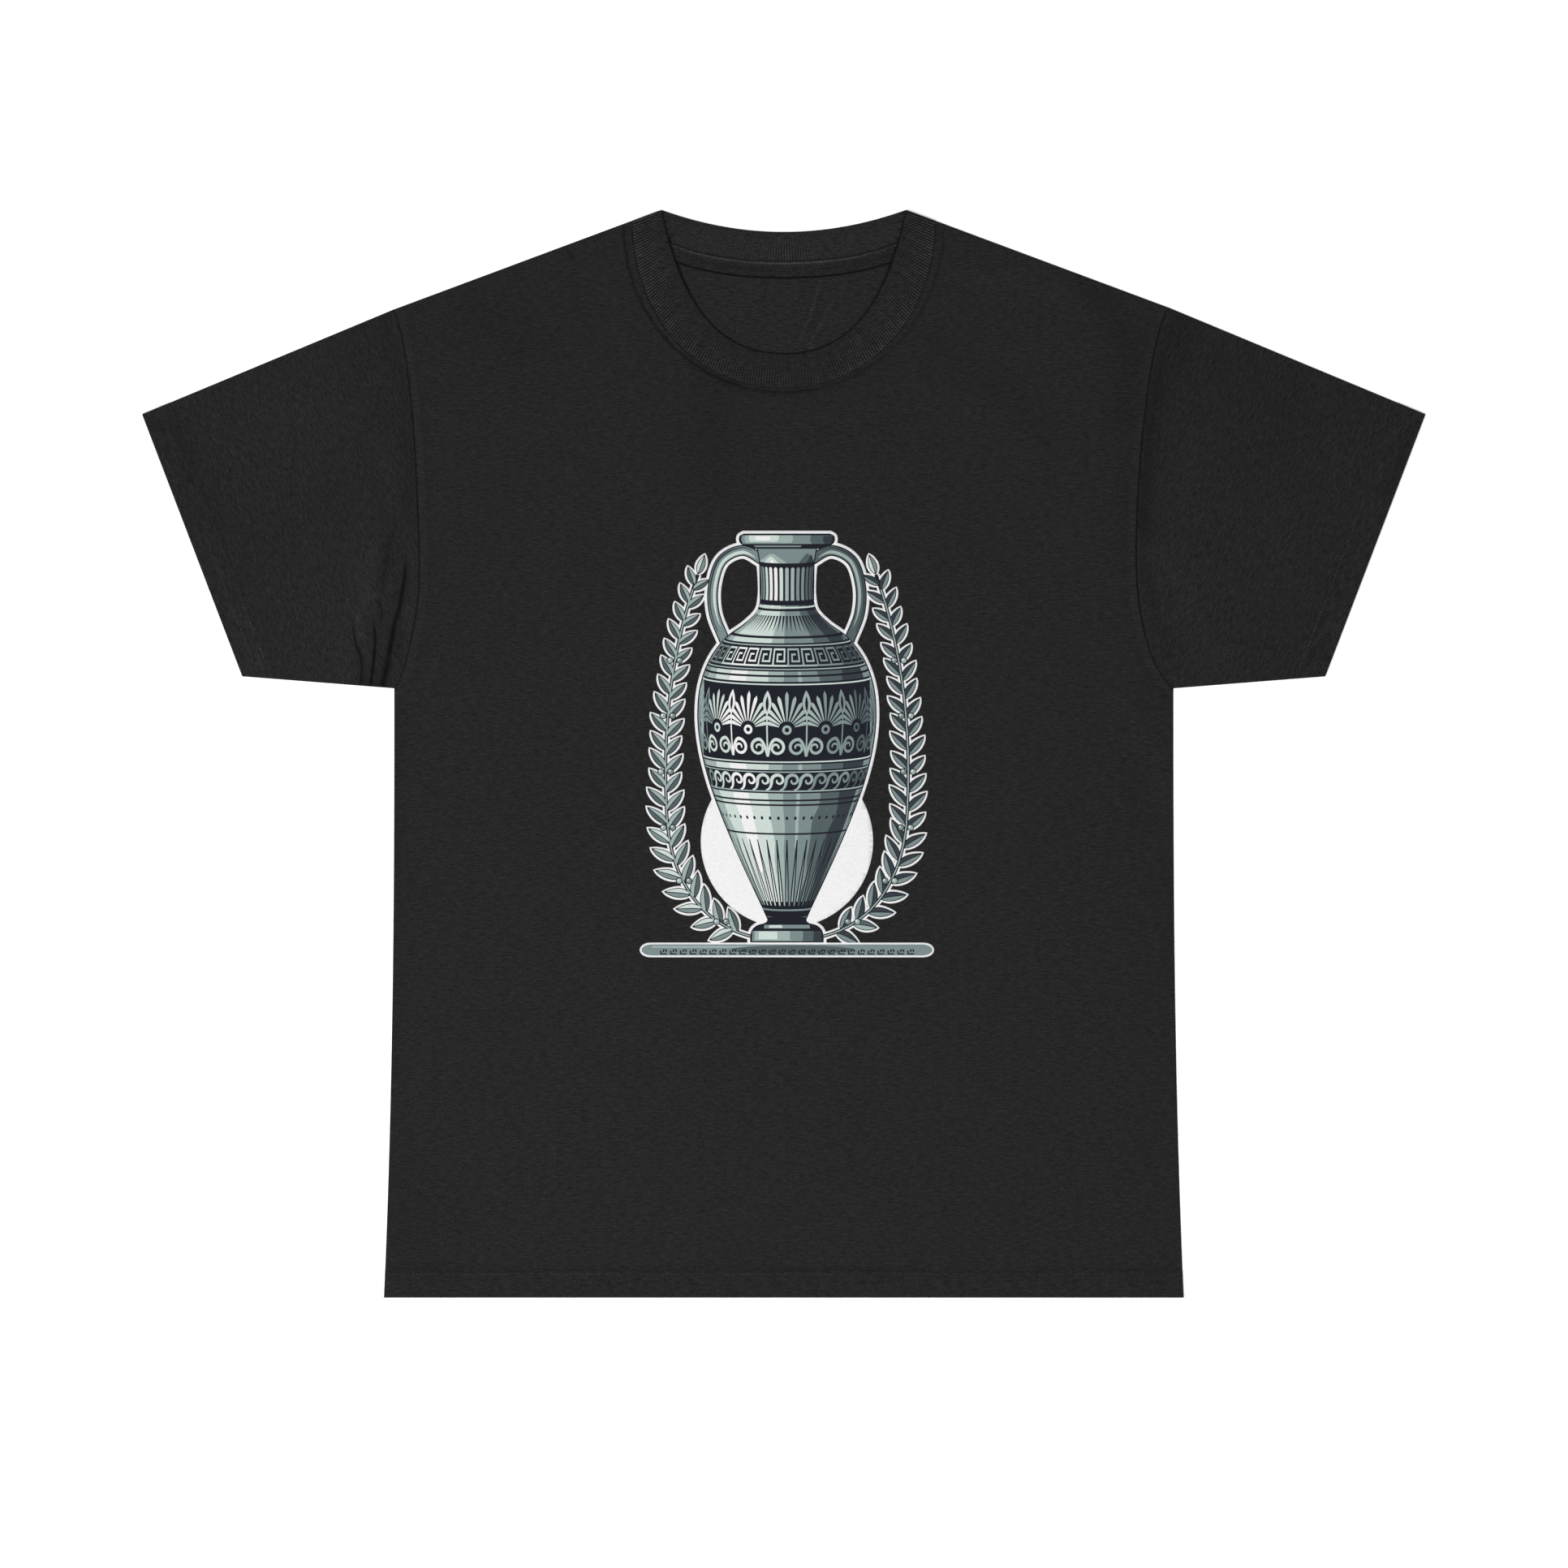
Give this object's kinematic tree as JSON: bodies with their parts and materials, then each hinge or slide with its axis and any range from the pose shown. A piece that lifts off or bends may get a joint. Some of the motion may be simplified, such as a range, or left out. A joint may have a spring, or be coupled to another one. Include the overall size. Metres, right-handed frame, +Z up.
{
  "type": "short-sleeve crew-neck t-shirt laid flat",
  "caption": "Short-sleeve crew-neck T-shirt in black jersey, laid flat front side up, with ribbed collar, set-in sleeves, turned hems and a chest print.",
  "frame": {"origin": "under the middle of the shirt's bounding box, on the surface it lies on", "axes": "+X across the shirt to the sleeve on the right as seen from above, +Y from the hem to the collar, +Z up out of the printed front"},
  "size_m": [0.9088, 0.7702, 0.0032],
  "materials": {
    "jersey": "matte black single jersey knit",
    "rib": "matte black one-by-one rib knit, folded double",
    "tape": "matte black neck tape with two lines of stitches",
    "print": "matte screen print in white, pale green, grey green and navy"
  },
  "bodies": {
    "root": {"back_panel": "jersey", "front_panel": "jersey", "left_sleeve": "jersey", "right_sleeve": "jersey", "neck_rib": "rib", "neck_tape": "tape"}
  },
  "joints": []
}
